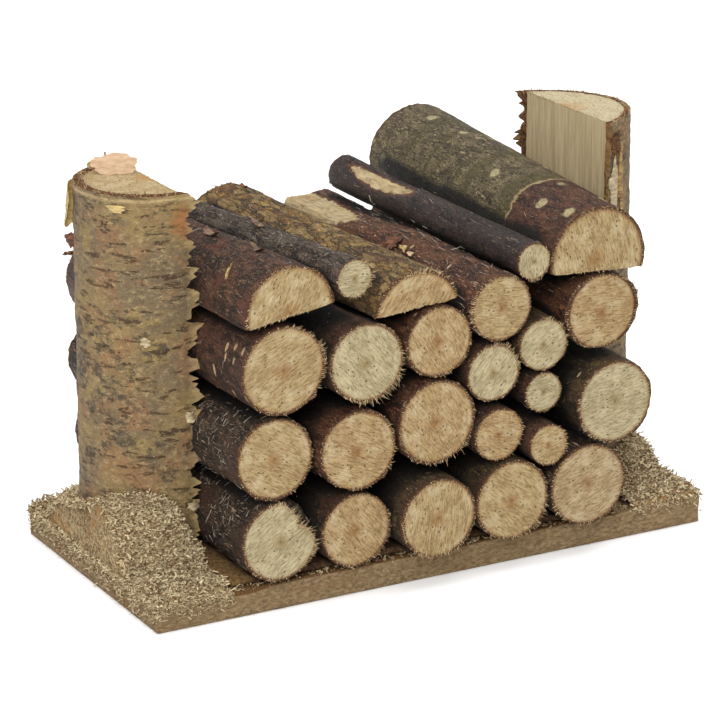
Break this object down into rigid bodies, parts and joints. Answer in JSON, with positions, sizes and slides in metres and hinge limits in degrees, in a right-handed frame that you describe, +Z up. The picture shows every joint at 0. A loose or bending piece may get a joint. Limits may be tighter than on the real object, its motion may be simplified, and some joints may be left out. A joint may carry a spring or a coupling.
{
  "type": "miniature firewood stack",
  "caption": "Dolls house log store: short twig logs piled front to back on a fibreboard base between two half-round split posts, glued up, with sawdust heaped at each end.",
  "frame": {"origin": "centre of the board's underside, which rests on the table or shelf", "axes": "+X along the row from the left post to the right post, +Y from the front to the back, along the logs, +Z up"},
  "size_m": [0.0862, 0.0586, 0.0578],
  "materials": {
    "fibreboard": "sawn brown fibreboard, matt, with furry cut edges",
    "split_wood": "split and sawn pale wood, matt, straight grain",
    "pale_bark": "papery beige bark, matt, with dark breathing marks",
    "red_brown_twig": "smooth red-brown bark, pale sawn ends",
    "grey_brown_twig": "grey-brown bark, pale sawn ends",
    "olive_twig": "olive and ochre cracked bark, pale sawn ends",
    "dark_brown_twig": "dark brown bark, pale sawn ends",
    "grey_green_twig": "grey-green bark, pale sawn ends",
    "glue": "set amber-brown glue, glossy",
    "sawdust": "loose-looking glued sawdust, matt"
  },
  "bodies": {
    "root": {"base_board": "fibreboard", "left_post_wood": "split_wood", "left_post_bark": "pale_bark", "right_post_wood": "split_wood", "right_post_bark": "pale_bark", "log_a1": "grey_brown_twig", "log_a2": "dark_brown_twig", "log_a3": "olive_twig", "log_a4": "olive_twig", "log_a5": "grey_brown_twig", "log_b1": "grey_brown_twig", "log_b2": "grey_brown_twig", "log_b3": "red_brown_twig", "log_b4": "dark_brown_twig", "log_b5": "dark_brown_twig", "log_c1": "red_brown_twig", "log_c2": "dark_brown_twig", "log_c3": "grey_brown_twig", "log_c4": "grey_brown_twig", "log_c5": "dark_brown_twig", "log_c6": "olive_twig", "log_c7": "grey_brown_twig", "log_d1": "dark_brown_twig", "log_d2": "grey_brown_twig", "log_d3": "olive_twig", "log_d4": "red_brown_twig", "log_d5": "red_brown_twig", "log_e1": "red_brown_twig", "log_e2": "grey_green_twig", "glue_bed": "glue", "glue_bead_1": "glue", "glue_bead_2": "glue", "glue_bead_3": "glue", "glue_bead_4": "glue", "glue_bead_5": "glue", "glue_bead_6": "glue", "glue_bead_7": "glue", "glue_bead_8": "glue", "glue_drop_low": "glue", "glue_drop_high": "glue", "sawdust_left": "sawdust", "sawdust_right": "sawdust"}
  },
  "joints": []
}
